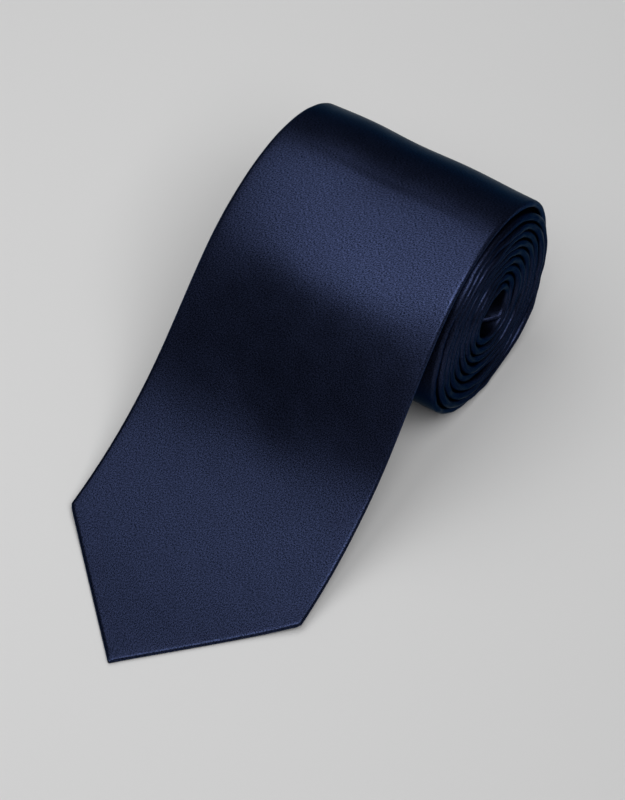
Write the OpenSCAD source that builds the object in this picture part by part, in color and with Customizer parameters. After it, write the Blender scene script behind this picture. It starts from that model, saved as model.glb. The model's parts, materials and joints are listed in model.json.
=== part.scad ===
// A long necktie, rolled up from its narrow end, with the front blade left lying free.
// X runs across the tie, -Y towards the point of the front blade, +Z up from the table.

/* [Tie] */
// Width across the shoulders of the front blade
blade_w = 80; // [72:1:90]
// Width at the narrowest place, in the neck band
neck_w = 37; // [34:1:40]
// Width across the shoulders of the tail blade
tail_w = 48; // [44:1:52]
// Distance from the front point to the narrowest place
neck_at = 800; // [760:10:840]
// Distance from the front point to the seam between front blade and neck piece
front_seam_at = 600; // [560:10:640]
// Distance from the front point to the seam between neck piece and tail
tail_seam_at = 1000; // [960:10:1040]

/* [Layers] */
// Thickness of the folded tie, pressed
layer_t = 1.5; // [1.4:0.05:1.55]
// Thickness of one ply of the shell cloth
ply_t = 0.3; // [0.25:0.05:0.35]
// Width of the turned fold at each long edge
fold_w = 0.8; // [0.6:0.1:1.2]
// Width of the hem left around each opening at the back of a point
hem_w = 7; // [5:0.5:9]

/* [Free blade] */
// Length of the back opening on the front blade, from the point to its stitched end
front_opening = 118; // [108:1:121]
// Radius of the bend where the free blade leaves the crest of the roll
crest_r = 52; // [50:1:54]
// Slope of the ramp between roll and table, degrees
ramp_slope = 49.5; // [48:0.5:51]
// Radius of the bend where the blade lifts from the table
lift_r = 88; // [84:1:92]

/* [Roll] */
// Distance of the roll's crest from the front point, along the table
crest_y = 147; // [146:0.5:148.5]
// Radius of the outermost turn, at mid thickness
roll_r = 34.2; // [33.8:0.1:34.6]
// Radius of the open eye in the middle of the roll, at mid thickness
eye_r = 4.8; // [4.6:0.1:5.2]
// Number of turns
turns = 10.2; // [9.7:0.5:10.2]
// Place of the eye along the table, measured from the front point
eye_y = 147.5; // [146.5:0.5:148.5]
// Height of the eye above the table
eye_z = 34; // [33:0.1:35]
// Place of the flush end of the turns, across the tie
flush_x = 40; // [39.5:0.5:41]

/* [Small parts] */
// Distance from the front point to the keeper loop
loop_at = 230; // [220:5:240]
// Length of the keeper loop across the tie
loop_l = 44; // [40:1:46]
// Distance from the tail point to the fibre label
label_at = 130; // [120:5:140]
// Length of the back opening on the tail blade
tail_opening = 60; // [50:1:70]

/* [Hidden] */

silk = "#232a4d";
lining = "#1d2341";
wool = "#c9c5b8";
thread = "#20264a";
tape = "#2c3358";
eps = 0.01;
big = 100;              // reach of a cutting block, well past the tie
half_t = layer_t / 2;

// Where each layer lies, measured outwards from mid thickness
slack = 0.05;           // air left between neighbouring layers
shell_in = half_t - ply_t;
core_top = shell_in - slack;
lining_t = 0.2;
lining_low = -core_top;
core_low = lining_low + lining_t + slack;
seam_gap = 0.25;        // half the gap in which the slip stitch runs
stitch_w = 0.12;
stitch_low = -half_t + slack;
stitch_top = -shell_in - slack;

// A bend line needs a round end on the moving side and a little air on the other
knuckle_r = half_t;
hinge_gap = knuckle_r + 0.35;

// Spiral: radius and centre both drift from the outermost turn (v = 1) to the eye (v = 0)
tighten = 0.95;
drift = 1.3;
step = 12;              // degrees between cross sections
function v_at(phi) = 1 - phi / (360 * turns);
function radius(phi) = eye_r + (roll_r - eye_r) * pow(v_at(phi), tighten);
// The section at foot_phi is the last one on the flat foot, so it sets the height of the roll
foot_phi = 180 + step / 2;
roll_z = eye_z + (half_t + radius(foot_phi) * cos(step / 2) - eye_z) / pow(v_at(foot_phi), drift);
crest_z = roll_z + roll_r;
function centre(phi) = [eye_y, eye_z] + ([crest_y, roll_z] - [eye_y, eye_z]) * pow(v_at(phi), drift);
// Point of the spiral at turned angle phi and distance n outside mid thickness, in Y and Z
function roll_point(phi, n) =
    let (c = centre(phi), r = radius(phi) + n)
    [c[0] + r * sin(phi), max(c[1] + r * cos(phi), half_t - n)];

// Side view of the free blade: crest bend, straight ramp, lift bend, then flat on the table
ramp_top = [crest_y - crest_r * sin(ramp_slope), crest_z - crest_r * (1 - cos(ramp_slope))];
ramp_foot_z = half_t + lift_r * (1 - cos(ramp_slope));
ramp_l = (ramp_top[1] - ramp_foot_z) / sin(ramp_slope);
ramp_foot = [ramp_top[0] - ramp_l * cos(ramp_slope), ramp_foot_z];
lift_y = ramp_foot[0] - lift_r * sin(ramp_slope);
bend_unit = PI / 180;
ramp_foot_at = lift_y + lift_r * ramp_slope * bend_unit;
ramp_top_at = ramp_foot_at + ramp_l;
crest_at = ramp_top_at + crest_r * ramp_slope * bend_unit;
start_phi = hinge_gap / roll_r / bend_unit;
end_phi = 360 * turns - step / 2;

// Distance along the tie from the front point, on the spiral
function along(phi) =
    let (v = v_at(phi))
    crest_at + 360 * turns * bend_unit
        * (eye_r * (1 - v) + (roll_r - eye_r) * (1 - pow(v, tighten + 1)) / (tighten + 1));
tie_l = along(end_phi);
// First section of the spiral at or past a distance along the tie
function section_at(s, k = 0) = along(step * (k + 0.5)) >= s ? step * (k + 0.5) : section_at(s, k + 1);
front_seam_phi = section_at(front_seam_at);
tail_seam_phi = section_at(tail_seam_at);
loop_phi = section_at(loop_at);
label_phi = section_at(tie_l - label_at);
tack_phi = section_at(tie_l - tail_opening);

// Half width: full at the front shoulders, narrowest at the neck, wider again at the tail
shoulder_y = blade_w / 2;
taper = 1.2;
function half_w(s) = s < neck_at
    ? (neck_w + (blade_w - neck_w) * (1 - pow(max(s - shoulder_y, 0) / (neck_at - shoulder_y), taper))) / 2
    : (neck_w + (tail_w - neck_w) * min((s - neck_at) / (tie_l - tail_w / 2 - neck_at), 1)) / 2;
// The turns creep sideways until their edges are flush
creep_phi = 540;
function flush_edge(phi) =
    flush_x - (flush_x - half_w(crest_at)) * (1 + cos(180 * min(phi / creep_phi, 1))) / 2;
function middle_x(phi) = flush_edge(phi) - half_w(along(phi));
function point_half_w(phi) = min(half_w(along(phi)), max(tie_l - along(phi), 1));
function tail_left(phi) = tie_l - along(phi);
// Half the width of the gap between the two back edges: a slit, then the tail opening
function back_gap(phi) =
    let (d = tail_left(phi), flare = (tail_w / 2 - hem_w) / (tail_opening - tail_w / 2))
    max(seam_gap, min((tail_opening - d) * flare, d - hem_w * sqrt(2)));

// Cross sections, as [x, n] points in order round the solid
function c_section(phi) =
    let (m = middle_x(phi), w = point_half_w(phi), i = w - fold_w, g = min(back_gap(phi), i - slack))
    [[m + w, -half_t], [m + w, half_t], [m - w, half_t], [m - w, -half_t],
        [m - g, -half_t], [m - g, -shell_in], [m - i, -shell_in], [m - i, shell_in],
        [m + i, shell_in], [m + i, -shell_in], [m + g, -shell_in], [m + g, -half_t]];
function bar_section(m, w, low, top) = [[m + w, low], [m + w, top], [m - w, top], [m - w, low]];
function stitch_section(phi) =
    let (m = middle_x(phi))
    [[m + stitch_w, stitch_low], [m, stitch_top], [m - stitch_w, stitch_low]];

// Sections of the spiral from angle a to angle b
function sections(a, b) = concat([a],
    [for (k = [0 : ceil(end_phi / step)]) let (p = step * (k + 0.5)) if (p > a + eps && p < b - eps) p], [b]);

// Quads that close the end of a cross section, as indexes into its points
BAR_CAP = [[0, 1, 2, 3]];
C_CAP = [[1, 2, 7, 8], [2, 3, 6, 7], [3, 4, 5, 6], [0, 1, 8, 9], [11, 0, 9, 10]];
STITCH_CAP = [[0, 1, 2]];
function split_quads(faces) = [for (f = faces) each len(f) == 4 ? [[f[0], f[1], f[2]], [f[0], f[2], f[3]]] : [f]];
function reversed(v) = [for (i = [len(v) - 1 : -1 : 0]) v[i]];

// Solid swept along the spiral from angle a to angle b, with the cross section shape(phi)
module roll_strip(a, b, shape, cap = BAR_CAP) {
    stations = sections(a, b);
    count = len(shape(a));
    last = (len(stations) - 1) * count;
    points = [for (p = stations) for (q = shape(p)) let (r = roll_point(p, q[1])) [q[0], r[0], r[1]]];
    sides = [for (i = [0 : len(stations) - 2]) for (j = [0 : count - 1])
        [i * count + j, i * count + (j + 1) % count,
            (i + 1) * count + (j + 1) % count, (i + 1) * count + j]];
    near_end = [for (f = cap) reversed(f)];
    far_end = [for (f = cap) [for (k = f) last + k]];
    polyhedron(points, split_quads(concat(near_end, sides, far_end)), convexity = 10);
}

// Side view of the free blade between the two bend lines, from n = low to n = top
bend_steps = 9;
function blade_point(p, a, n) = [p[0] - n * sin(a), p[1] + n * cos(a)];
function blade_line(n) = concat(
    [blade_point([lift_y - hinge_gap, half_t], 0, n)],
    [for (k = [0 : bend_steps]) let (a = ramp_slope * k / bend_steps)
        blade_point([lift_y + lift_r * sin(a), half_t + lift_r * (1 - cos(a))], a, n)],
    [for (k = [bend_steps : -1 : 0]) let (a = ramp_slope * k / bend_steps)
        blade_point([crest_y - crest_r * sin(a), crest_z - crest_r * (1 - cos(a))], a, n)],
    [blade_point([crest_y + hinge_gap, crest_z], 0, n)]);
module across() translate([-big / 2, 0, 0]) rotate([90, 0, 90]) linear_extrude(big) children();
module blade_band(low, top) across() polygon(concat(blade_line(low), reversed(blade_line(top))));

// Plan view of the front blade, drawn inwards from its outline by inset
plan_steps = 6;
module blade_plan(inset) {
    top_y = crest_y + hinge_gap + 1;
    side = [for (k = [0 : plan_steps])
        let (y = shoulder_y + (top_y - shoulder_y) * k / plan_steps)
        [half_w(shoulder_y + (y - shoulder_y) * (crest_at - shoulder_y) / (crest_y - shoulder_y)) - inset,
            y + (k == 0 ? inset * (sqrt(2) - 1) : 0)]];
    linear_extrude(big) polygon(concat([[0, inset * sqrt(2)]], side, [for (p = reversed(side)) [-p[0], p[1]]]));
}

// Opening at the back of the point, and the slit that runs on from it
opening_end = ramp_foot + (front_opening - ramp_foot_at) * [cos(ramp_slope), sin(ramp_slope)];
module back_opening() {
    linear_extrude(big) {
        polygon([[0, hem_w * sqrt(2)], [shoulder_y - hem_w, shoulder_y + hem_w * (sqrt(2) - 1)],
            [0, opening_end[0]], [-shoulder_y + hem_w, shoulder_y + hem_w * (sqrt(2) - 1)]]);
        translate([-seam_gap, opening_end[0] - 1]) square([2 * seam_gap, crest_y]);
    }
}

// A bar across the tie with a round end on its bend line
module knuckle(y, z) translate([-big / 2, y, z]) rotate([0, 90, 0]) cylinder(r = knuckle_r, h = big, $fn = 32);
module tip_space() {
    translate([-big / 2, 0, 0]) cube([big, lift_y, layer_t]);
    knuckle(lift_y, half_t);
}
module rise_space() {
    translate([-big / 2, lift_y + hinge_gap, -eps]) cube([big, crest_y - lift_y - hinge_gap, big]);
    knuckle(crest_y, crest_z);
}

// One piece of the free blade: a layer between two depths, cut to its plan, on one body
module tip_layer(low, top) intersection() {
    tip_space();
    translate([-big / 2, 0, half_t + low]) cube([big, lift_y + knuckle_r, top - low]);
    children();
}
module rise_layer(low, top) intersection() {
    rise_space();
    blade_band(low, top);
    children();
}

// The whole tie is shifted so that its box is centred on the origin
x_mid = (flush_x - shoulder_y) / 2;
y_mid = roll_point(90, half_t)[0] / 2;
module place() translate([-x_mid, -y_mid, 0]) children();

// Frame of a spot on the straight ramp, with +Z outwards
module on_ramp(s) {
    p = ramp_foot + (s - ramp_foot_at) * [cos(ramp_slope), sin(ramp_slope)];
    translate([0, p[0], p[1]]) rotate([ramp_slope, 0, 0]) children();
}

module front_shell_tip() color(silk) place() {
    tip_layer(shell_in, half_t) blade_plan(0);
    tip_layer(-half_t, half_t) difference() {
        blade_plan(0);
        translate([0, 0, -1]) blade_plan(fold_w);
    }
    tip_layer(-half_t, -shell_in) difference() {
        blade_plan(0);
        translate([0, 0, -1]) back_opening();
    }
}

module front_shell_rise() color(silk) place() {
    rise_layer(shell_in, half_t) blade_plan(0);
    rise_layer(-half_t, half_t) difference() {
        blade_plan(0);
        translate([0, 0, -1]) blade_plan(fold_w);
    }
    rise_layer(-half_t, -shell_in) difference() {
        blade_plan(0);
        translate([0, 0, -1]) back_opening();
    }
}

seam_turn = 0.45;       // degrees left at each side of a piecing seam
module front_shell_roll() color(silk) place()
    roll_strip(start_phi, front_seam_phi - seam_turn, function (p) c_section(p), C_CAP);
module neck_shell() color(silk) place()
    roll_strip(front_seam_phi + seam_turn, tail_seam_phi - seam_turn, function (p) c_section(p), C_CAP);
module tail_shell() color(silk) place()
    roll_strip(tail_seam_phi + seam_turn, end_phi, function (p) c_section(p), C_CAP);

core_in = fold_w + 0.1; // inset of the interlining from the folded edge
module interlining_tip() color(wool) place() tip_layer(core_low, core_top) blade_plan(core_in);
module interlining_rise() color(wool) place() rise_layer(core_low, core_top) blade_plan(core_in);
core_end_phi = end_phi - 4 * step;
module interlining_roll() color(wool) place()
    roll_strip(start_phi, core_end_phi,
        function (p) bar_section(middle_x(p), point_half_w(p) - core_in, core_low, core_top));

// The lining of a point reaches a little past its opening
lining_over = 8;
module front_tipping_tip() color(lining) place() tip_layer(lining_low, lining_low + lining_t) blade_plan(core_in);
module front_tipping_rise() color(lining) place() rise_layer(lining_low, lining_low + lining_t)
    intersection() {
        blade_plan(core_in);
        translate([-big / 2, 0, 0]) cube([big, opening_end[0] + lining_over, big]);
    }
module tail_tipping() color(lining) place()
    roll_strip(section_at(tie_l - tail_opening - lining_over), core_end_phi,
        function (p) bar_section(middle_x(p), point_half_w(p) - core_in, lining_low, lining_low + lining_t));

// Row of thread that joins two lengths of shell cloth
module piecing_seam(phi) roll_strip(phi - seam_turn + eps, phi + seam_turn - eps,
    function (p) bar_section(middle_x(p), half_w(along(p)) - fold_w, shell_in + slack / 2, half_t - slack / 2));
module front_piecing_seam() color(thread) place() piecing_seam(front_seam_phi);
module tail_piecing_seam() color(thread) place() piecing_seam(tail_seam_phi);

module slip_stitch_rise() color(thread) place() rise_layer(stitch_low, stitch_top)
    translate([-stitch_w, opening_end[0] + 1, 0]) cube([2 * stitch_w, crest_y, big]);
module slip_stitch_roll() color(thread) place()
    roll_strip(start_phi, tack_phi - step, function (p) stitch_section(p), STITCH_CAP);

tack_w = 6;
tack_l = 1.2;
tack_t = 0.25;
spare_r = 1.9;          // outside radius of the spare loop of thread
spare_w = 0.4;
spare_back = 8;         // distance of its middle from the stitched end of the opening
module front_bar_tack() color(thread) place() on_ramp(front_opening)
    translate([-tack_w / 2, 0, -half_t - tack_t]) cube([tack_w, tack_l, tack_t]);
module tail_bar_tack() color(thread) place()
    roll_strip(tack_phi - step, tack_phi,
        function (p) bar_section(middle_x(p), tack_w / 2, -half_t - tack_t, -half_t));
module spare_thread_loop() color(thread) place() on_ramp(front_opening - spare_back)
    translate([0, 0, -half_t]) difference() {
        cylinder(r = spare_r, h = tack_t, $fn = 32);
        translate([0, 0, -tack_t]) cylinder(r = spare_r - spare_w, h = 3 * tack_t, $fn = 32);
    }

// Flat pieces on the inner face of the tie, laid along whole facets of the spiral
tape_gap = 0.06;
loop_t = 0.2;
label_t = 0.12;
label_l = 24;
module inner_tape(phi, facets, length, t) roll_strip(phi, phi + facets * step,
    function (p) bar_section(middle_x(p), length / 2, -half_t - tape_gap - t, -half_t - tape_gap));
module keeper_loop() color(silk) place() inner_tape(loop_phi, 2, loop_l, loop_t);
module fibre_label() color(tape) place() inner_tape(label_phi, 5, label_l, label_t);

front_shell_tip();
front_shell_rise();
front_shell_roll();
neck_shell();
tail_shell();
interlining_tip();
interlining_rise();
interlining_roll();
front_tipping_tip();
front_tipping_rise();
tail_tipping();
front_piecing_seam();
tail_piecing_seam();
slip_stitch_rise();
slip_stitch_roll();
front_bar_tack();
tail_bar_tack();
spare_thread_loop();
keeper_loop();
fibre_label();
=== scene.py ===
"""A navy satin necktie, rolled up from its narrow end, with the front blade left lying free.

Every layer of the tie is swept along one path, which runs from the point of the front blade
up over the crest of the roll and round the spiral to the tail point in its eye.
A place on the tie is given by s, the distance along it from the front point, by x, across it,
and by n, outwards from its mid thickness. Lengths are in metres; MM turns millimetres into them.
"""
import json
import math

import bpy
import numpy as np
from mathutils import Matrix, Vector


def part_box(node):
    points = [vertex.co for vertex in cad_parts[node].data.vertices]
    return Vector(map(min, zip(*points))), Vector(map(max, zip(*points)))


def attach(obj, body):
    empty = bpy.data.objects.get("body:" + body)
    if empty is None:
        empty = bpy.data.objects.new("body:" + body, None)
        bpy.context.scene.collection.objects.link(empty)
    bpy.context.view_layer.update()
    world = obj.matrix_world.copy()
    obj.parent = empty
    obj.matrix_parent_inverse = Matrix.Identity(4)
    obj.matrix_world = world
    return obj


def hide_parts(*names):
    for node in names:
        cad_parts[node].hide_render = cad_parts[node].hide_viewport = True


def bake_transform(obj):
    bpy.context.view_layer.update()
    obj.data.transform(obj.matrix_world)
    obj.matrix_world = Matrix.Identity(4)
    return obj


MM = 0.001
RNG_SEED = 7

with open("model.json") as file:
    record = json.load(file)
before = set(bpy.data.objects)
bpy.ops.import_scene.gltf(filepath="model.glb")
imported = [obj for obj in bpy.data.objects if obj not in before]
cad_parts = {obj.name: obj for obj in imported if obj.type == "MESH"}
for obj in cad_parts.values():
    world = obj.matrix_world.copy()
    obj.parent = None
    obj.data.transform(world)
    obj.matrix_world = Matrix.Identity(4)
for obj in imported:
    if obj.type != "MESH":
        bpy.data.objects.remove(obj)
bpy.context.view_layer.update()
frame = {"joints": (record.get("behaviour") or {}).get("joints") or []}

# ---------------------------------------------------------------- design sizes

BLADE_W, NECK_W, TAIL_W = 80 * MM, 37 * MM, 48 * MM
NECK_AT = 800 * MM
FRONT_SEAM_AT, TAIL_SEAM_AT = 603 * MM, 1003 * MM
FRONT_OPENING, TAIL_OPENING = 118 * MM, 60 * MM
LOOP_AT, LOOP_SIZE = 237 * MM, (44 * MM, 13 * MM)
LABEL_FROM_END, LABEL_SIZE = 128 * MM, (24 * MM, 11 * MM)
HEM_W = 7 * MM
TAPER = 1.2

LIFT_R, CREST_R, RAMP_SLOPE = 88 * MM, 52 * MM, math.radians(49.5)
ROLL_R, EYE_R, TURNS = 34.2 * MM, 4.8 * MM, 10.2
TIGHTEN, DRIFT = 0.95, 1.3
CREEP_TURNS = 1.5
LOOSE, LOOSE_AT, LOOSE_OVER = 1.1 * MM, 0.9, 0.6    # outermost turn, standing off behind the crest
CURL, CURL_OVER = 2.9 * MM, 4.6                     # the tail's point, curling into the eye

PLY = 0.35 * MM          # one ply of the shell cloth
EDGE_R = 1.25 * MM       # half round of a folded long edge
SEAM_GAP = 0.25 * MM     # half the gap between the two back edges
OUT_T, IN_T = 1.05 * MM, 0.73 * MM   # from mid thickness to the front and the back of the free blade

joints = {j["name"]: j for j in frame["joints"]}
LIFT = Vector(joints["tip_lift"]["pos_m"])
CREST = Vector(joints["blade_lift"]["pos_m"])
tip_low, tip_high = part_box("front_shell_tip")
POINT_Y = tip_low.y
MIDDLE_X = (tip_low.x + tip_high.x) / 2
FLUSH_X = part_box("neck_shell")[1].x
EYE = np.array([POINT_Y + 147.5 * MM, 34 * MM])


def smooth(t):
    """0 below 0, 1 above 1, and an even ramp between."""
    t = np.clip(t, 0, 1)
    return t * t * (3 - 2 * t)


def ripple(count, shortest, longest, seed):
    """A smooth random function of one length: a sum of sines, about -1 to 1."""
    rng = np.random.default_rng(RNG_SEED + seed)
    waves = 2 * math.pi / np.geomspace(shortest, longest, count)
    phase = rng.uniform(0, 2 * math.pi, count)
    size = rng.uniform(0.6, 1.0, count) / math.sqrt(count)
    return lambda s: sum(a * np.sin(w * np.asarray(s) + p) for a, w, p in zip(size, waves, phase))


# ---------------------------------------------------------------- the path

def free_path(step=0.25 * MM):
    """The free blade's mid line, from its point to the crest, as Y, Z points."""
    lift_y, floor_z = LIFT.y, LIFT.z
    flat = [(y, floor_z) for y in np.arange(POINT_Y, lift_y, step)]
    bend = [(lift_y + LIFT_R * math.sin(a), floor_z + LIFT_R * (1 - math.cos(a)))
            for a in np.arange(0, RAMP_SLOPE, step / LIFT_R)]
    top_arc = [(CREST.y - CREST_R * math.sin(a), CREST.z - CREST_R * (1 - math.cos(a)))
               for a in np.arange(RAMP_SLOPE, 0, -step / CREST_R)]
    foot, top = np.array(bend[-1]), np.array(top_arc[0])
    ramp = [foot + (top - foot) * t for t in np.linspace(0, 1, 130)[1:-1]]
    return np.array(flat + bend + [tuple(p) for p in ramp] + top_arc)


def spiral_path(step=math.radians(0.5)):
    """The roll's mid line from the crest inwards, as Y, Z points, and each one's turned angle."""
    phi = np.arange(0, 2 * math.pi * TURNS - math.radians(6), step)
    v = 1 - phi / (2 * math.pi * TURNS)
    r = EYE_R + (ROLL_R - EYE_R) * v ** TIGHTEN + LOOSE * np.exp(-((phi - LOOSE_AT) / LOOSE_OVER) ** 2)
    r -= CURL * smooth((phi - phi[-1] + CURL_OVER) / CURL_OVER)
    outer = np.array([CREST.y, CREST.z - ROLL_R])
    centre = EYE + (outer - EYE) * (v ** DRIFT)[:, None]
    return centre + r[:, None] * np.stack([np.sin(phi), np.cos(phi)], 1), phi


def eased(points, window=15 * MM, upto=60 * MM):
    """The path with its changes of bend spread out over a window, up to a little past the crest."""
    steps = np.diff(points, axis=0)
    length = np.linalg.norm(steps, axis=1)
    s = np.concatenate([[0], np.cumsum(length)])
    last = np.searchsorted(s, s[len(free)] + upto)
    angle = np.unwrap(np.arctan2(steps[:, 1], steps[:, 0]))
    even = np.arange(0, s[last], 0.25 * MM)
    half = int(window / (0.25 * MM))
    shape = np.hanning(2 * half + 1)
    turned = np.convolve(np.pad(np.interp(even, s[1:], angle), half, mode="reflect", reflect_type="odd"),
                         shape / shape.sum(), "valid")
    angle[:last] = np.interp(s[1:last + 1], even, turned)
    moved = length[:, None] * np.stack([np.cos(angle), np.sin(angle)], 1)
    made = points.copy()
    made[:last] = points[last] - np.cumsum(moved[:last][::-1], axis=0)[::-1]
    slip = (points[0] - made[0]) * (1 - np.clip(s / s[last], 0, 1))[:, None]
    return made + slip


free, (coil, coil_phi) = free_path(), spiral_path()
line = eased(np.concatenate([free, coil]))
steps = np.linalg.norm(np.diff(line, axis=0), axis=1)
line_s = np.concatenate([[0], np.cumsum(steps)])
TIE_L = line_s[-1]
CREST_S = line_s[len(free)]
LIFT_S = LIFT.y - POINT_Y
line_phi = np.concatenate([np.zeros(len(free)), coil_phi])

tangent = np.gradient(line, line_s + np.arange(len(line_s)) * 1e-12, axis=0)
WINDOW = 25
kernel = np.hanning(WINDOW + 2)[1:-1] / np.hanning(WINDOW + 2).sum()
tangent = np.stack([np.convolve(np.pad(tangent[:, k], WINDOW // 2, mode="edge"), kernel, "valid")
                    for k in (0, 1)], 1)
tangent /= np.linalg.norm(tangent, axis=1)[:, None]
line_normal = np.stack([-tangent[:, 1], tangent[:, 0]], 1)


def on_line(values, s):
    """A quantity known along the path, at the distances s."""
    values = np.asarray(values)
    if values.ndim == 1:
        return np.interp(s, line_s, values)
    return np.stack([np.interp(s, line_s, values[:, k]) for k in range(values.shape[1])], -1)


def phi_at(s):
    return np.interp(s, line_s, line_phi)


def s_at_phi(phi):
    return float(np.interp(phi, coil_phi, line_s[len(free):]))


# ---------------------------------------------------------------- width and thickness

TAIL_SHOULDER_S = TIE_L - TAIL_W / 2


def taper_half_w(s):
    """Half the width, leaving out the two points."""
    front = np.clip((s - BLADE_W / 2) / (NECK_AT - BLADE_W / 2), 0, 1)
    tail = np.clip((s - NECK_AT) / (TAIL_SHOULDER_S - NECK_AT), 0, 1)
    return (NECK_W + (BLADE_W - NECK_W) * (1 - front ** TAPER) + (TAIL_W - NECK_W) * tail) / 2


def half_w(s):
    """Half the width of the tie at s, with both ends cut to a right angle."""
    return np.minimum(np.minimum(taper_half_w(s), s), np.maximum(TIE_L - s, 0.6 * MM))


CREST_HALF_W = float(taper_half_w(CREST_S))
edge_wander = ripple(9, 24 * MM, 210 * MM, 1)
edge_shiver = ripple(8, 6 * MM, 22 * MM, 2)


def middle_x(s):
    """Where the middle of the tie is, in X: the turns creep sideways until one edge is flush."""
    creep = (1 + np.cos(np.clip(phi_at(s) / (2 * CREEP_TURNS), 0, math.pi))) / 2
    flush = FLUSH_X - (FLUSH_X - MIDDLE_X - CREST_HALF_W) * creep
    in_roll = smooth((s - CREST_S) / (40 * MM))
    wander = (0.45 * edge_wander(s) + 0.12 * edge_shiver(s) - 0.35) * MM * in_roll
    return np.where(s < CREST_S, MIDDLE_X, flush - taper_half_w(s)) + wander


def turn_gaps():
    """Along the path, the distance out to the turn outside and in to the turn inside."""
    full = int(round(2 * math.pi / (coil_phi[1] - coil_phi[0])))
    gap = np.linalg.norm(coil[full:] - coil[:-full], axis=1)
    outward = np.concatenate([np.full(full, np.inf), gap])
    inward = np.concatenate([gap, np.full(full, np.inf)])
    lead = np.full(len(free), np.inf)
    return np.concatenate([lead, outward]), np.concatenate([lead, inward])


gap_out, gap_in = turn_gaps()
MOST_T = 1.28 * MM       # most that a turn swells, from mid thickness to one face
swell = ripple(10, 14 * MM, 160 * MM, 3)
fill = 0.90 + 0.06 * np.clip(swell(line_s), -1, 1)
BLUR = int(12 * MM / (line_s[1] - line_s[0]))


def blurred(values):
    shape = np.hanning(BLUR + 2)[1:-1]
    return np.convolve(np.pad(values, BLUR // 2, mode="edge"), shape / shape.sum(), "valid")[:len(values)]


face_out = blurred(np.where(np.isinf(gap_out), OUT_T, np.minimum(gap_out / 2 * fill, MOST_T)))
face_in = blurred(np.where(np.isinf(gap_in), IN_T, np.minimum(gap_in / 2 * fill, MOST_T)))
face_out = np.minimum(face_out, np.where(np.isinf(gap_out), 1, gap_out / 2 * 0.97))
face_in = np.minimum(face_in, np.where(np.isinf(gap_in), 1, gap_in / 2 * 0.97))


def end_round(s):
    """Thins both faces to nothing at the two points."""
    near = np.minimum(s, TIE_L - s)
    return np.sqrt(1 - (1 - np.clip(near / (1.6 * MM), 0.02, 1)) ** 2)


def back_gap(s):
    """Half the gap between the two back edges: a slit, opening out behind each point."""
    front = np.minimum((FRONT_OPENING - s) * (BLADE_W / 2 - HEM_W) / (FRONT_OPENING - BLADE_W / 2),
                       s - HEM_W * math.sqrt(2))
    left = TIE_L - s
    tail = np.minimum((TAIL_OPENING - left) * (TAIL_W / 2 - HEM_W) / (TAIL_OPENING - TAIL_W / 2),
                      left - HEM_W * math.sqrt(2))
    return np.maximum(SEAM_GAP, np.maximum(front, tail))


# ---------------------------------------------------------------- from the tie to the frame

drape_long = ripple(5, 36 * MM, 100 * MM, 4)
drape_cross = ripple(4, 32 * MM, 80 * MM, 5)
hang = ripple(4, 30 * MM, 80 * MM, 6)
SAG, SAG_FROM, SAG_OVER = 1.9 * MM, -12 * MM, 26 * MM
BOW, BOW_Y, BOW_OVER = 3.1 * MM, CREST.y - 36 * MM, 16 * MM    # crown across the blade below the crest
LEAN, WAVE = 0.35 * MM, 1.0 * MM
ROLL_FROM, ROLL_OVER = CREST.y - 48 * MM, 30 * MM              # where the roll's own sag comes in, along Y
WAVE_FROM, WAVE_OVER = 9 * MM, 22 * MM                         # height at which the waves come in
IN_ROLL_STILL = 0.85                                           # share of the waves that the roll holds still
TABLE_GAP = 0.02 * MM


def settle(p):
    """Soft shape that all the layers share, so that it keeps them nested: p is in the frame."""
    x, y, z = p.T
    height = np.clip(z / CREST.z, 0, 1)
    in_roll = smooth((y - ROLL_FROM) / ROLL_OVER)
    droop = np.clip((SAG_FROM - x) / SAG_OVER, 0, 1) ** 2 * in_roll * height ** 2
    lean = LEAN * hang(x) * in_roll * height
    free_share = smooth((z - WAVE_FROM) / WAVE_OVER) * (1 - IN_ROLL_STILL * in_roll)
    wave = WAVE * drape_long(y * 0.9 + x * 0.35) * drape_cross(x) * free_share
    across = np.cos(np.clip((x - MIDDLE_X) / BLADE_W, -0.5, 0.5) * math.pi) - 0.45
    bow = BOW * across * np.exp(-((y - BOW_Y) / BOW_OVER) ** 2)
    q = np.stack([x, y + lean + 0.3 * SAG * droop - 0.5 * bow, z - SAG * droop + wave + 0.8 * bow], 1)
    q[:, 2] = np.maximum(q[:, 2], TABLE_GAP)
    return q


def place(s, x, n):
    """Frame points for places on the tie; the arrays have one shape."""
    c, m = on_line(line, s), on_line(line_normal, s)
    p = np.stack([x, c[..., 0] + n * m[..., 0], c[..., 1] + n * m[..., 1]], -1)
    return settle(p.reshape(-1, 3)).reshape(p.shape)


# ---------------------------------------------------------------- meshes

def mesh_object(name, points, faces, uv=None, material=None, smooth_shade=True):
    mesh = bpy.data.meshes.new(name)
    mesh.from_pydata([tuple(p) for p in points], [], [tuple(f) for f in faces])
    if uv is not None:
        layer = mesh.uv_layers.new(name="cloth")
        index = np.zeros(len(mesh.loops), np.int32)
        mesh.loops.foreach_get("vertex_index", index)
        layer.data.foreach_set("uv", np.asarray(uv, np.float32)[index].ravel())
    mesh.validate()
    if smooth_shade:
        mesh.shade_smooth()
    obj = bpy.data.objects.new(name, mesh)
    bpy.context.scene.collection.objects.link(obj)
    if material:
        mesh.materials.append(material)
    return obj


def ring_faces(rings, count):
    """Quads of a closed tube of rings, each of count points, with a face over each end."""
    i, j = np.meshgrid(np.arange(rings - 1), np.arange(count), indexing="ij")
    k = (j + 1) % count
    quads = np.stack([i * count + j, i * count + k, (i + 1) * count + k, (i + 1) * count + j], -1)
    faces = quads.reshape(-1, 4).tolist()
    faces.append(list(range(count - 1, -1, -1)))
    faces.append([(rings - 1) * count + j for j in range(count)])
    return faces


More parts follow.
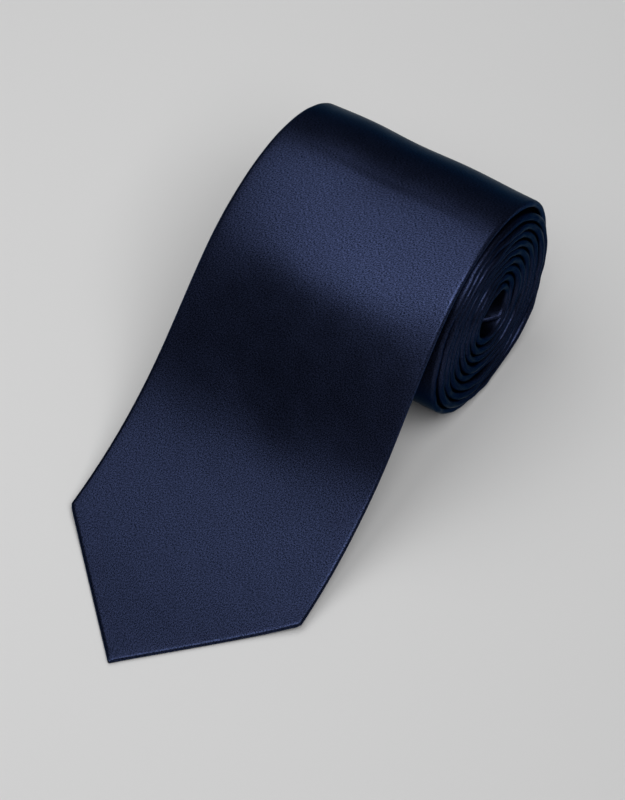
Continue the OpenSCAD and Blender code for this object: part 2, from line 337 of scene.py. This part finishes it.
def sharpen_caps(obj, rings, count):
    """Keeps the end faces from bending the shading of the long faces."""
    mesh = obj.data
    last = (rings - 1) * count
    sharp = mesh.attributes.new("sharp_edge", "BOOLEAN", "EDGE")
    ends = np.zeros(len(mesh.edges) * 2, np.int32)
    mesh.edges.foreach_get("vertices", ends)
    ends = ends.reshape(-1, 2)
    at_end = ((ends < count).all(1)) | ((ends >= last).all(1))
    sharp.data.foreach_set("value", at_end)


def stations(a, b):
    """Distances along the tie from a to b, closer together where the turns are small."""
    found = [a]
    while found[-1] < b:
        phi = phi_at(found[-1])
        radius = ROLL_R + (EYE_R - ROLL_R) * phi / (2 * math.pi * TURNS)
        found.append(found[-1] + min(1.3 * MM, radius * math.radians(5)))
    found = np.array(found)
    return a + (found - a) * (b - a) / (found[-1] - a)


def shell_template(columns, flap, edge):
    """Points round a folded C of cloth: each row is (share of flat half, share of edge round,
    share of gap, side of the outer face, side of the inner face, is on the inside)."""
    rows = []
    for inside in (False, True):
        cols, flaps, arcs = (columns, flap, edge) if not inside else (5, 2, 3)
        half = [(t, 0, 1 - t, 0, -1) for t in np.linspace(0, 1, flaps + 1)]
        half += [(1, math.cos(a), 0, max(math.sin(a), 0), min(math.sin(a), 0))
                 for a in np.linspace(-math.pi / 2, math.pi / 2, arcs + 2)[1:-1]]
        front = [(t, 0, 0, 1, 0) for t in np.linspace(1, -1, cols)]
        mirrored = [(-a, -b, -c, d, e) for a, b, c, d, e in reversed(half)]
        loop = [row + (inside,) for row in half + front + mirrored]
        rows += loop if not inside else loop[::-1]
    return np.array(rows, float)


def shell(name, a, b, material, columns=25, flap=6, edge=7):
    """One length of folded satin, from a to b along the tie, with its turned edges and its slit."""
    s = stations(a, b)[:, None]
    t = shell_template(columns, flap, edge)
    w = half_w(s)
    round_w = np.minimum(EDGE_R * np.where(s < BLADE_W / 2, math.sqrt(2), 1), 0.45 * w)
    thin = end_round(s)
    out_t, in_t = on_line(face_out, s) * thin, on_line(face_in, s) * thin
    ply = np.minimum(PLY, 0.3 * np.minimum(out_t, in_t)) * t[:, 5]
    flat = w - round_w
    gap = np.minimum(back_gap(s), flat - 0.1 * MM)
    crown = 0.12 * MM * (1 - np.clip(np.abs(t[:, 0]), 0, 1) ** 2) * (t[:, 3] > 0.99) * (1 - t[:, 5])
    x = middle_x(s) + t[:, 0] * flat + t[:, 1] * (round_w - ply) + t[:, 2] * gap
    n = t[:, 3] * (out_t - ply) + t[:, 4] * (in_t - ply) + crown * thin * (s < CREST_S)
    points = place(np.broadcast_to(s, x.shape), x, n)
    around = np.cumsum(np.concatenate([np.zeros_like(x[:, :1]), np.hypot(np.diff(x), np.diff(n))], 1), 1)
    uv = np.stack([around - around[:, -1:] / 2, np.broadcast_to(s, x.shape)], -1) / (10 * MM)
    rings, count = x.shape
    obj = mesh_object(name, points.reshape(-1, 3), ring_faces(rings, count), uv.reshape(-1, 2), material)
    sharpen_caps(obj, rings, count)
    cut_w = 2 * w + 2 * (flat - gap)
    area = float(((cut_w[1:, 0] + cut_w[:-1, 0]) / 2 * np.diff(s[:, 0])).sum())
    return obj, (float(cut_w.max()), float(b - a)), area


def strip(name, a, b, half, low, top, material, columns=9):
    """A flat layer from a to b along the tie, between two depths that are functions of s."""
    s = stations(a, b)[:, None]
    across = np.linspace(-1, 1, columns)
    w = half(s)
    x = middle_x(s) + np.concatenate([across, across[::-1]]) * w
    n = np.concatenate([np.ones(columns), np.zeros(columns)])
    n = low(s) + (top(s) - low(s)) * n
    points = place(np.broadcast_to(s, x.shape), x, n)
    uv = np.stack([x, np.broadcast_to(s, x.shape)], -1) / (10 * MM)
    rings, count = x.shape
    obj = mesh_object(name, points.reshape(-1, 3), ring_faces(rings, count), uv.reshape(-1, 2),
                      material, smooth_shade=False)
    area = float(((w[1:, 0] + w[:-1, 0]) * np.diff(s[:, 0])).sum())
    return obj, (float(2 * w.max()), float(b - a)), area


def tube(name, points, radius, material, sides=8):
    """A thread of that radius along the frame points."""
    points = np.asarray(points)
    ahead = np.gradient(points, axis=0)
    ahead /= np.linalg.norm(ahead, axis=1)[:, None]
    side = np.cross(ahead, [1.0, 0.13, 0.07])
    side /= np.linalg.norm(side, axis=1)[:, None]
    over = np.cross(ahead, side)
    a = np.linspace(0, 2 * math.pi, sides, endpoint=False)
    round_it = side[:, None] * np.cos(a)[:, None] + over[:, None] * np.sin(a)[:, None]
    rings = points[:, None] + radius * round_it
    along = np.cumsum(np.concatenate([[0], np.linalg.norm(np.diff(points, axis=0), axis=1)]))
    uv = np.stack(np.broadcast_arrays(a[None] * radius, along[:, None]), -1) / (10 * MM)
    return mesh_object(name, rings.reshape(-1, 3), ring_faces(len(points), sides), uv.reshape(-1, 2),
                       material)


def joined(name, parts):
    """One object made of several."""
    points, faces, uv, base = [], [], [], 0
    for o in parts:
        mesh = o.data
        points += [tuple(v.co) for v in mesh.vertices]
        faces += [[base + i for i in p.vertices] for p in mesh.polygons]
        table = np.zeros((len(mesh.vertices), 2))
        for loop, at in zip(mesh.loops, mesh.uv_layers[0].data):
            table[loop.vertex_index] = at.uv
        uv += table.tolist()
        base += len(mesh.vertices)
    material = parts[0].data.materials[0]
    for o in parts:
        bpy.data.objects.remove(o)
    return mesh_object(name, points, faces, uv, material)


# ---------------------------------------------------------------- materials

def new_material(name):
    material = bpy.data.materials.new(name)
    material.use_nodes = True
    nodes, links = material.node_tree.nodes, material.node_tree.links
    return material, nodes, links, nodes["Principled BSDF"]


def node(nodes, kind, at, **values):
    made = nodes.new(kind)
    made.location = at
    for key, value in values.items():
        if hasattr(made, key):
            setattr(made, key, value)
        else:
            made.inputs[key.replace("_", " ")].default_value = value
    return made


def cloth_coordinates(nodes, links):
    """The cloth's own coordinates, in centimetres, and the same ones turned onto the bias."""
    uv = node(nodes, "ShaderNodeUVMap", (-1400, 0), uv_map="cloth")
    mapping = node(nodes, "ShaderNodeMapping", (-1200, 0), Rotation=(0, 0, math.radians(45)))
    links.new(uv.outputs["UV"], mapping.inputs["Vector"])
    return uv.outputs["UV"], mapping.outputs["Vector"]


def remapped(nodes, links, value, at, given, wanted, curve="LINEAR"):
    """A value taken from one pair of limits to another."""
    made = node(nodes, "ShaderNodeMapRange", at, interpolation_type=curve)
    made.inputs["From Min"].default_value, made.inputs["From Max"].default_value = given
    made.inputs["To Min"].default_value, made.inputs["To Max"].default_value = wanted
    links.new(value, made.inputs["Value"])
    return made.outputs["Result"]


FLOATS_PER_CM = (18, 40, 1)
# Scales of the satin colour along the tie, in centimetres: painted shade that dims the sheen near the front
# point and in the roll.
POINT_ENDS, POINT_PAINTED_SHADE = (8, 13), (0.70, 1.0)
ROLL_STARTS, ROLL_PAINTED_SHADE = (25, 33), (1.0, 0.62)


def satin(name, dark, light, rough):
    """Warp-faced satin cut on the bias: short floats in diagonal rows, each tilted a little.

    Its sheen is made with a coloured metallic shader. Near the front point and in the roll its colour is
    scaled down, painted shade on the sheen; both are set by the distance along the tie, in centimetres.
    """
    material, nodes, links, shader = new_material(name)
    plain, turned = cloth_coordinates(nodes, links)
    stretch = node(nodes, "ShaderNodeVectorMath", (-1000, -200), operation="MULTIPLY")
    stretch.inputs[1].default_value = FLOATS_PER_CM
    links.new(turned, stretch.inputs[0])
    floats = node(nodes, "ShaderNodeTexNoise", (-800, -200), Scale=1.0, Detail=1.0, Roughness=0.7)
    links.new(stretch.outputs[0], floats.inputs["Vector"])
    slub = node(nodes, "ShaderNodeTexNoise", (-800, 400), Scale=1.2, Detail=3.0)
    links.new(turned, slub.inputs["Vector"])
    ramp = node(nodes, "ShaderNodeValToRGB", (-400, 0))
    ramp.color_ramp.elements[0].position, ramp.color_ramp.elements[1].position = 0.36, 0.64
    ramp.color_ramp.elements[0].color, ramp.color_ramp.elements[1].color = (*dark, 1), (*light, 1)
    links.new(floats.outputs["Fac"], ramp.inputs["Fac"])
    along = node(nodes, "ShaderNodeSeparateXYZ", (-1000, 600))
    links.new(plain, along.inputs["Vector"])
    distance = along.outputs["Y"]
    # Painted shade: the colour is scaled down towards the front point, dimming the sheen there.
    point_painted_shade = remapped(nodes, links, distance, (-800, 600), POINT_ENDS, POINT_PAINTED_SHADE, "SMOOTHSTEP")
    # Painted shade: the colour is scaled down in the roll, darkening the turns and the roll's end.
    rolled = remapped(nodes, links, distance, (-800, 900), ROLL_STARTS, ROLL_PAINTED_SHADE, "SMOOTHSTEP")
    both = node(nodes, "ShaderNodeMath", (-500, 700), operation="MULTIPLY")
    links.new(point_painted_shade, both.inputs[0])
    links.new(rolled, both.inputs[1])
    # The satin colour times both painted shade scales.
    painted_shade_colour = node(nodes, "ShaderNodeVectorMath", (-200, 200), operation="SCALE")
    links.new(ramp.outputs["Color"], painted_shade_colour.inputs[0])
    links.new(both.outputs[0], painted_shade_colour.inputs["Scale"])
    links.new(painted_shade_colour.outputs["Vector"], shader.inputs["Base Color"])
    uneven = remapped(nodes, links, slub.outputs["Fac"], (-400, 400),
                      (0.3, 0.7), (rough - 0.02, rough + 0.05))
    links.new(uneven, shader.inputs["Roughness"])
    bump = node(nodes, "ShaderNodeBump", (-200, -300), Strength=1.0, Distance=0.035 * MM)
    links.new(floats.outputs["Fac"], bump.inputs["Height"])
    links.new(bump.outputs["Normal"], shader.inputs["Normal"])
    shader.inputs["Metallic"].default_value = 1.0
    shader.inputs["Specular Tint"].default_value = (0.36, 0.42, 0.46, 1)
    return material


def woven(name, dark, light, pitch, rough, bump_height, sheen):
    """A plain woven or felted cloth with a fine grain of that pitch, in millimetres."""
    material, nodes, links, shader = new_material(name)
    _, turned = cloth_coordinates(nodes, links)
    weave = node(nodes, "ShaderNodeTexWave", (-800, 100), Scale=10 / pitch / 6, Distortion=2.0, Detail=2.0)
    grain = node(nodes, "ShaderNodeTexNoise", (-800, -200), Scale=10 / pitch, Detail=3.0)
    links.new(turned, weave.inputs["Vector"])
    links.new(turned, grain.inputs["Vector"])
    both = node(nodes, "ShaderNodeMath", (-600, 0), operation="MULTIPLY")
    links.new(weave.outputs["Fac"], both.inputs[0])
    links.new(grain.outputs["Fac"], both.inputs[1])
    ramp = node(nodes, "ShaderNodeValToRGB", (-400, 0))
    ramp.color_ramp.elements[0].color, ramp.color_ramp.elements[1].color = (*dark, 1), (*light, 1)
    ramp.color_ramp.elements[1].position = 0.6
    links.new(both.outputs[0], ramp.inputs["Fac"])
    links.new(ramp.outputs["Color"], shader.inputs["Base Color"])
    bump = node(nodes, "ShaderNodeBump", (-200, -300), Strength=0.5, Distance=bump_height)
    links.new(both.outputs[0], bump.inputs["Height"])
    links.new(bump.outputs["Normal"], shader.inputs["Normal"])
    shader.inputs["Roughness"].default_value = rough
    shader.inputs["Specular IOR Level"].default_value = 0.2
    shader.inputs["Sheen Weight"].default_value = sheen
    shader.inputs["Sheen Tint"].default_value = (*light, 1)
    return material


SATIN = satin("navy_satin", (0.005, 0.008, 0.018), (0.041, 0.054, 0.122), 0.34)
LINING = woven("lining_twill", (0.004, 0.007, 0.024), (0.013, 0.020, 0.070), 0.35, 0.5, 0.05 * MM, 0.0)
WOOL = woven("interlining_wool", (0.45, 0.42, 0.36), (0.7, 0.67, 0.6), 0.8, 0.95, 0.2 * MM, 0.3)
THREAD = woven("navy_thread", (0.006, 0.008, 0.03), (0.02, 0.025, 0.08), 0.1, 0.4, 0.02 * MM, 0.1)
TAPE = woven("label_tape", (0.012, 0.016, 0.045), (0.035, 0.045, 0.11), 0.3, 0.6, 0.05 * MM, 0.1)

# ---------------------------------------------------------------- the pieces

RAMP_FOOT_S = LIFT_S + LIFT_R * RAMP_SLOPE
RAMP_TOP_S = CREST_S - CREST_R * RAMP_SLOPE
MID_RAMP_S = (RAMP_FOOT_S + RAMP_TOP_S) / 2
BACK_S = s_at_phi(math.radians(80))
CORE = 0.85 * MM          # inset of the interlining from the folded edge


def at_crest(piece):
    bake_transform(piece)


def at_lift(piece):
    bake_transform(piece)


def in_roll(piece):
    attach(piece, "roll")


def on_rise(piece):
    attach(piece, "rise")


def cloth(made, nodes, move):
    """Gives one sheet of cloth its move and hides the nodes it stands for."""
    piece, flat, area = made
    move(piece)
    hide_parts(*nodes)
    return piece


def trim(piece, nodes, move):
    """A small piece that isn't a sheet."""
    move(piece)
    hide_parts(*nodes)
    return piece


def core_half(s):
    return np.maximum(half_w(s) - CORE, 0.2 * MM)


def core_low(s):
    return (-on_line(face_in, s) + PLY + 0.3 * MM) * end_round(s)


def core_top(s):
    return (on_line(face_out, s) - PLY - 0.03 * MM) * end_round(s)


def lining_low(s):
    return (-on_line(face_in, s) + PLY + 0.03 * MM) * end_round(s)


def lining_top(s):
    return lining_low(s) + 0.2 * MM * end_round(s)


START = 0.3 * MM
CORE_START, CORE_END = 4 * MM, TIE_L - 6 * MM

cloth(shell("front_blade_point", START, MID_RAMP_S, SATIN, columns=41, flap=14, edge=9),
      ["front_shell_tip"], at_lift)
cloth(shell("front_blade_crest", MID_RAMP_S, BACK_S, SATIN, columns=41, flap=14, edge=9),
      ["front_shell_rise"], at_crest)
cloth(shell("front_blade_rolled", BACK_S, FRONT_SEAM_AT, SATIN, columns=25),
      ["front_shell_roll"], in_roll)
cloth(shell("neck_piece", FRONT_SEAM_AT, TAIL_SEAM_AT, SATIN, columns=11, flap=3),
      ["neck_shell"], in_roll)
cloth(shell("tail_piece", TAIL_SEAM_AT, TIE_L - START, SATIN, columns=11, flap=4),
      ["tail_shell"], in_roll)

cloth(strip("interlining_point", CORE_START, MID_RAMP_S, core_half, core_low, core_top, WOOL),
      ["interlining_tip"], at_lift)
cloth(strip("interlining_crest", MID_RAMP_S, BACK_S, core_half, core_low, core_top, WOOL),
      ["interlining_rise"], at_crest)
cloth(strip("interlining_rolled", BACK_S, CORE_END, core_half, core_low, core_top, WOOL, columns=5),
      ["interlining_roll"], in_roll)

LINING_OVER = 8 * MM
cloth(strip("front_lining", CORE_START, FRONT_OPENING + LINING_OVER, core_half, lining_low, lining_top,
            LINING, columns=17),
      ["front_tipping_tip", "front_tipping_rise"], at_lift)
cloth(strip("tail_lining", TIE_L - TAIL_OPENING - LINING_OVER, CORE_END, core_half, lining_low, lining_top,
            LINING),
      ["tail_tipping"], in_roll)

# ---------------------------------------------------------------- sewing and small parts

STITCH_R = 0.14 * MM
STITCH_PITCH = 7 * MM


def slip_stitch(name, a, b, side=0.55 * MM):
    """Thread up the back seam: a long float inside, then a short slant across the gap."""
    s = np.arange(a, b, 0.35 * MM)
    turn = 2 * math.pi * (s - a) / STITCH_PITCH
    x = middle_x(s) + side * np.tanh(3 * np.sin(turn))
    n = -on_line(face_in, s) + 0.02 * MM - 0.1 * MM * np.cos(turn) ** 8
    return tube(name, place(s, x, n), STITCH_R, THREAD, sides=6)


def bar_tack(name, s_mid, width, wraps=11):
    """Threads laid side by side over the end of a back opening."""
    made = []
    for k in range(wraps):
        s0 = s_mid + (k - wraps / 2) * 1.7 * STITCH_R
        across = np.linspace(-1, 1, 13)
        s = np.full(13, s0) + 0.05 * MM * across
        n = -on_line(face_in, s) - 0.16 * MM * np.sqrt(np.clip(1 - across ** 4, 0, 1)) + 0.04 * MM
        made.append(tube(f"{name}_{k}", place(s, middle_x(s) + across * width / 2, n), STITCH_R, THREAD, 6))
    return joined(name, made)


def thread_ring(name, s_mid, radius):
    """A small free loop of thread lying on the lining."""
    a = np.linspace(0, 2 * math.pi * 0.96, 40)
    s = s_mid + radius * np.cos(a) * 1.3
    n = -on_line(face_in, s) + 0.42 * MM - STITCH_R * 0.2 - 0.12 * MM * np.sin(a / 2)
    return tube(name, place(s, middle_x(s) + radius * np.sin(a), n), STITCH_R, THREAD, 6)


TACK_W = 6 * MM
trim(slip_stitch("slip_stitch_crest", FRONT_OPENING + 1 * MM, BACK_S),
     ["slip_stitch_rise"], at_crest)
trim(slip_stitch("slip_stitch_rolled", BACK_S, TIE_L - TAIL_OPENING),
     ["slip_stitch_roll"], in_roll)
trim(bar_tack("front_tack", FRONT_OPENING, TACK_W), ["front_bar_tack"], on_rise)
trim(bar_tack("tail_tack", TIE_L - TAIL_OPENING, TACK_W), ["tail_bar_tack"], in_roll)
trim(thread_ring("spare_loop", FRONT_OPENING - 8 * MM, 1.6 * MM),
     ["spare_thread_loop"], on_rise)


def tape_low(s):
    return -on_line(face_in, s) - 0.16 * MM


def tape_top(s):
    return -on_line(face_in, s) - 0.01 * MM


def fixed_half(size):
    return lambda s: np.full_like(np.asarray(s, float), size / 2)


cloth(strip("keeper_strap", LOOP_AT, LOOP_AT + LOOP_SIZE[1], fixed_half(LOOP_SIZE[0]),
            tape_low, tape_top, SATIN),
      ["keeper_loop"], in_roll)
label_s = TIE_L - LABEL_FROM_END
cloth(strip("blank_label", label_s, label_s + LABEL_SIZE[1], fixed_half(LABEL_SIZE[0]),
            tape_low, tape_top, TAPE),
      ["fibre_label"], in_roll)


SEAM_POINTS, SEAM_WAVES = 160, 150


def piecing(name, s):
    """The row of stitches that joins two lengths of shell cloth."""
    across = np.linspace(-1, 1, SEAM_POINTS)
    at = np.full(SEAM_POINTS, s)
    n = on_line(face_out, at) - 0.02 * MM + 0.03 * MM * np.sin(across * SEAM_WAVES)
    return tube(name, place(at, middle_x(at) + across * (half_w(at) - EDGE_R), n), 0.05 * MM, THREAD, 5)


trim(piecing("front_join", FRONT_SEAM_AT), ["front_piecing_seam"], in_roll)
trim(piecing("tail_join", TAIL_SEAM_AT), ["tail_piecing_seam"], in_roll)

# ---------------------------------------------------------------- table, light and camera

floor_material, _, _, floor_shader = new_material("pale_table")
floor_shader.inputs["Base Color"].default_value = (0.7, 0.7, 0.7, 1)
floor_shader.inputs["Roughness"].default_value = 0.9
FLOOR_HALF = 3.0
corners = [(-FLOOR_HALF, -FLOOR_HALF, 0), (FLOOR_HALF, -FLOOR_HALF, 0),
           (FLOOR_HALF, FLOOR_HALF, 0), (-FLOOR_HALF, FLOOR_HALF, 0)]
floor = mesh_object("table", corners, [(0, 1, 2, 3)], material=floor_material)


def panel(name, size, power, location, turn):
    """A rectangular soft light, its sides along X and Y before it is turned from facing down."""
    data = bpy.data.lights.new(name, "AREA")
    data.shape = "RECTANGLE"
    data.size, data.size_y, data.energy = size[0], size[1], power
    light = bpy.data.objects.new(name, data)
    light.location = location
    light.rotation_euler = turn
    bpy.context.scene.collection.objects.link(light)


panel("key", (0.36, 0.74), 1.20, (-0.157, -0.035, 0.47), (0, 0, 0))
panel("fill", (1.5, 1.5), 28.5, (0.88, -0.55, 1.94), (math.radians(16), math.radians(24), 0))

world = bpy.data.worlds.new("studio")
world.use_nodes = True
world.node_tree.nodes["Background"].inputs["Color"].default_value = (1, 1, 1, 1)
world.node_tree.nodes["Background"].inputs["Strength"].default_value = 0.11
bpy.context.scene.world = world
bpy.context.scene.view_settings.view_transform = "Standard"

CAMERA_AZIMUTH, CAMERA_ELEVATION, CAMERA_ROLL = math.radians(30.99), math.radians(51.93), math.radians(1.55)
CAMERA_DISTANCE, CAMERA_LENS = 1.2477, 186.8
AIM = Vector((-2.1 * MM, POINT_Y + 113.1 * MM, 0))

back = Vector((math.sin(CAMERA_AZIMUTH) * math.cos(CAMERA_ELEVATION),
               -math.cos(CAMERA_AZIMUTH) * math.cos(CAMERA_ELEVATION), math.sin(CAMERA_ELEVATION)))
right = Vector((math.cos(CAMERA_AZIMUTH), math.sin(CAMERA_AZIMUTH), 0))
up = back.cross(right)
rolled_right = right * math.cos(CAMERA_ROLL) + up * math.sin(CAMERA_ROLL)
rolled_up = up * math.cos(CAMERA_ROLL) - right * math.sin(CAMERA_ROLL)
camera_data = bpy.data.cameras.new("camera")
camera_data.sensor_width, camera_data.lens = 36, CAMERA_LENS
camera_data.clip_start, camera_data.clip_end = 0.1, 20
camera = bpy.data.objects.new("camera", camera_data)
camera.matrix_world = Matrix.Translation(AIM + back * CAMERA_DISTANCE) @ Matrix(
    (rolled_right, rolled_up, back)).transposed().to_4x4()
bpy.context.scene.collection.objects.link(camera)
bpy.context.scene.camera = camera
